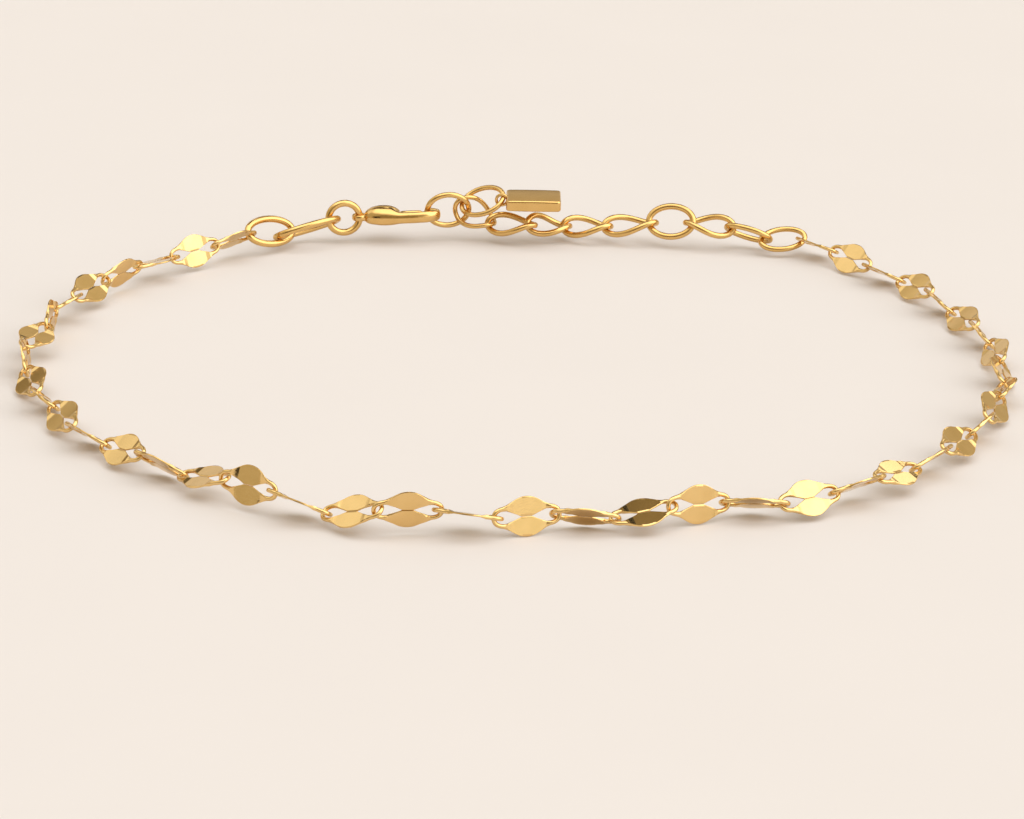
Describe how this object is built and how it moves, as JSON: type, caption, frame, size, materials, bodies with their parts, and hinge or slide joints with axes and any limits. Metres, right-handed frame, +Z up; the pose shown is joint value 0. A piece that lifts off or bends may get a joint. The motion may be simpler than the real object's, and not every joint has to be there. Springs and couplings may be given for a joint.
{
  "type": "chain bracelet",
  "caption": "Fine chain bracelet of flat lace-shaped links turned against each other, with a lobster clasp, a short twisted extender and a small blank tag, lying closed in an oval.",
  "frame": {"origin": "middle of the footprint on the surface the bracelet lies on", "axes": "+Z up off the surface, +X along the front row of the chain, +Y from the front row towards the clasp"},
  "size_m": [0.07, 0.06, 0.0043],
  "materials": {
    "bright_gold": "polished",
    "satin_gold": "satin"
  },
  "bodies": {
    "bracelet": {"lace_link_01": "satin_gold", "lace_link_02": "satin_gold", "lace_link_03": "satin_gold", "lace_link_04": "satin_gold", "lace_link_05": "satin_gold", "lace_link_06": "satin_gold", "lace_link_07": "satin_gold", "lace_link_08": "satin_gold", "lace_link_09": "satin_gold", "lace_link_10": "satin_gold", "lace_link_11": "satin_gold", "lace_link_12": "satin_gold", "lace_link_13": "satin_gold", "lace_link_14": "satin_gold", "lace_link_15": "satin_gold", "lace_link_16": "satin_gold", "lace_link_17": "satin_gold", "lace_link_18": "satin_gold", "lace_link_19": "satin_gold", "lace_link_20": "satin_gold", "lace_link_21": "satin_gold", "lace_link_22": "satin_gold", "lace_link_23": "satin_gold", "lace_link_24": "satin_gold", "lace_link_25": "satin_gold", "lace_link_26": "satin_gold", "lace_link_27": "satin_gold", "lace_link_28": "satin_gold", "lace_link_29": "satin_gold", "lace_link_30": "satin_gold", "lace_link_31": "satin_gold", "lace_link_32": "satin_gold", "lace_link_33": "satin_gold", "lace_link_34": "satin_gold", "lace_link_35": "satin_gold", "lace_link_36": "satin_gold", "lace_link_37": "satin_gold", "lace_link_38": "satin_gold", "lace_link_39": "satin_gold", "lace_link_40": "satin_gold", "lace_link_41": "satin_gold", "lace_link_42": "satin_gold", "lace_link_43": "satin_gold", "end_oval": "bright_gold", "clasp_oval": "bright_gold", "clasp_jump_ring": "bright_gold", "extender_end_ring": "bright_gold", "tag_ring": "bright_gold", "extender_link_5": "bright_gold", "extender_link_4": "bright_gold", "extender_link_3": "bright_gold", "extender_link_2": "bright_gold", "extender_link_1": "bright_gold", "extender_broad_ring": "bright_gold", "joining_link_2": "bright_gold", "joining_link_1": "bright_gold", "joining_oval": "bright_gold", "clasp_body": "bright_gold", "tag": "bright_gold"},
    "lever": {"clasp_lever": "bright_gold"}
  },
  "joints": [
    {"name": "clasp_lever_hinge", "type": "hinge", "parent": "bracelet", "child": "lever", "pos_m": [-0.0102, 0.0283, 0.00205], "axis": [0.0411, -0.0753, -0.9963], "range_deg": [0, 14], "stiffness_Nm_per_rad": 0.00002}
  ]
}
